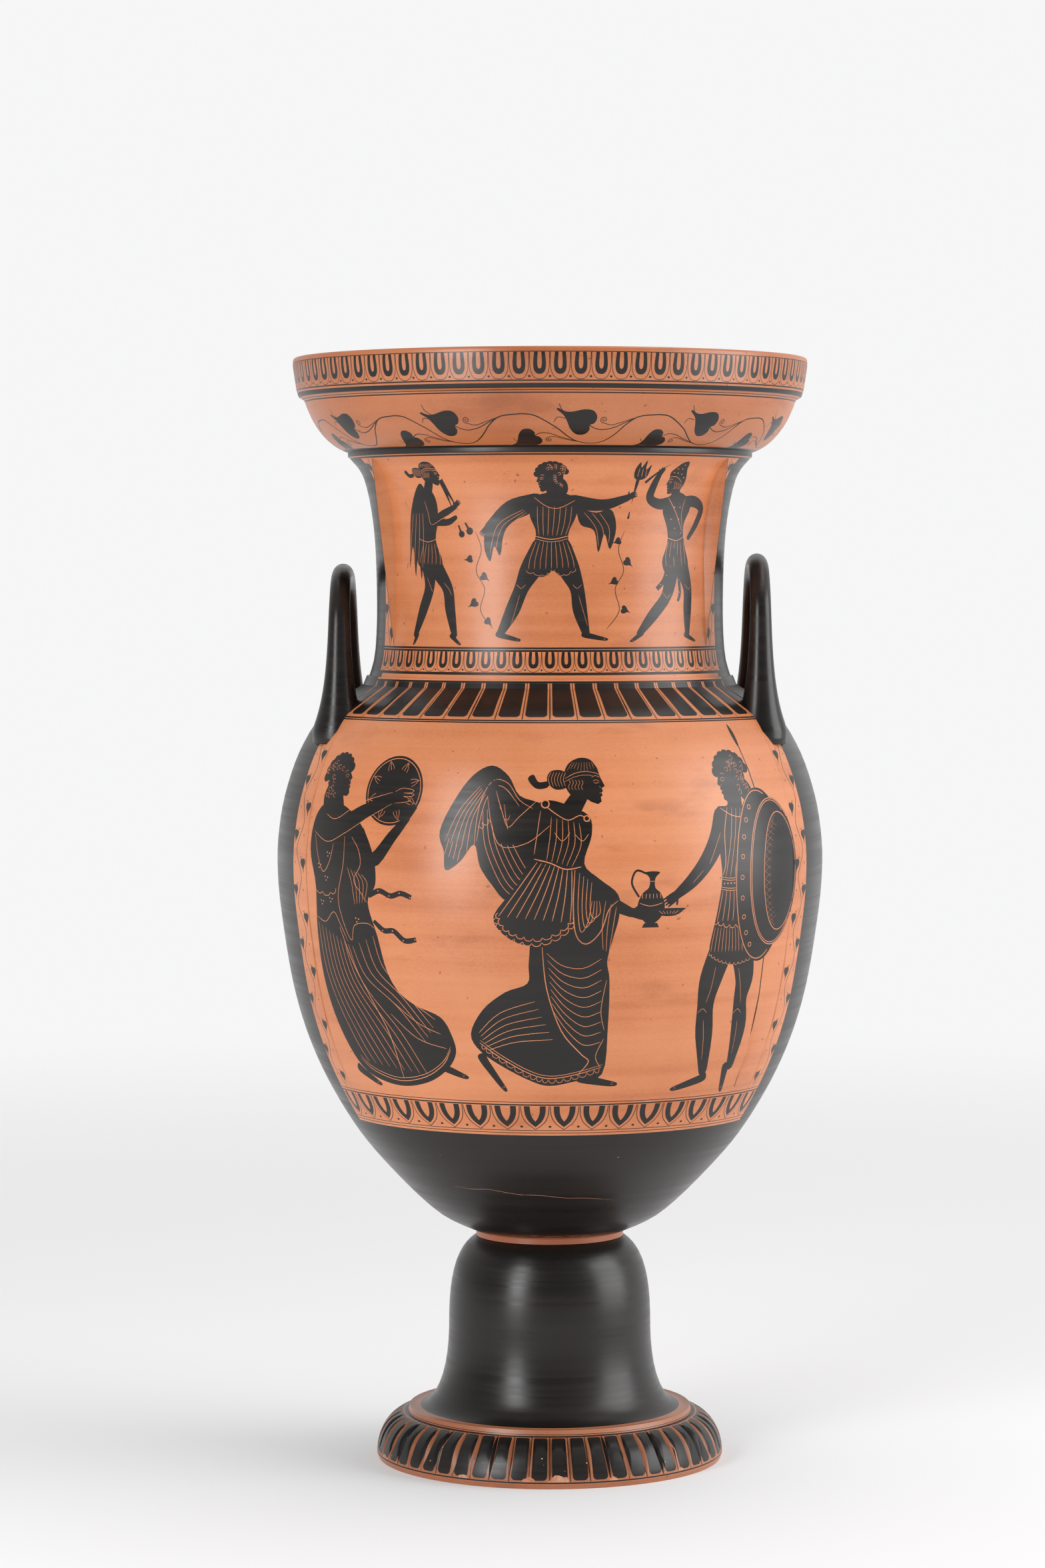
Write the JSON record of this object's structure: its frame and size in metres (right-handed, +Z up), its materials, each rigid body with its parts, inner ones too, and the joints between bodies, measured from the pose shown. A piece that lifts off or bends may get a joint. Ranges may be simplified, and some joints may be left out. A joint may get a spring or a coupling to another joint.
{
  "type": "greek krater",
  "caption": "Tall hollow clay krater with a flared mouth and upright handles, painted in black and orange figures, on a hollow bell-shaped pedestal.",
  "frame": {"origin": "centre of the pedestal's footprint, on the floor it stands on", "axes": "+Z up along the axis of both pieces; +X through the right handle; the painted front faces -Y"},
  "size_m": [0.3708, 0.3708, 0.7482],
  "materials": {
    "painted_clay": "burnished orange clay with glossy black slip painting",
    "black_slip": "glossy black slip with orange reserved bands"
  },
  "bodies": {
    "root": {"krater": "painted_clay", "stand": "black_slip"}
  },
  "joints": []
}
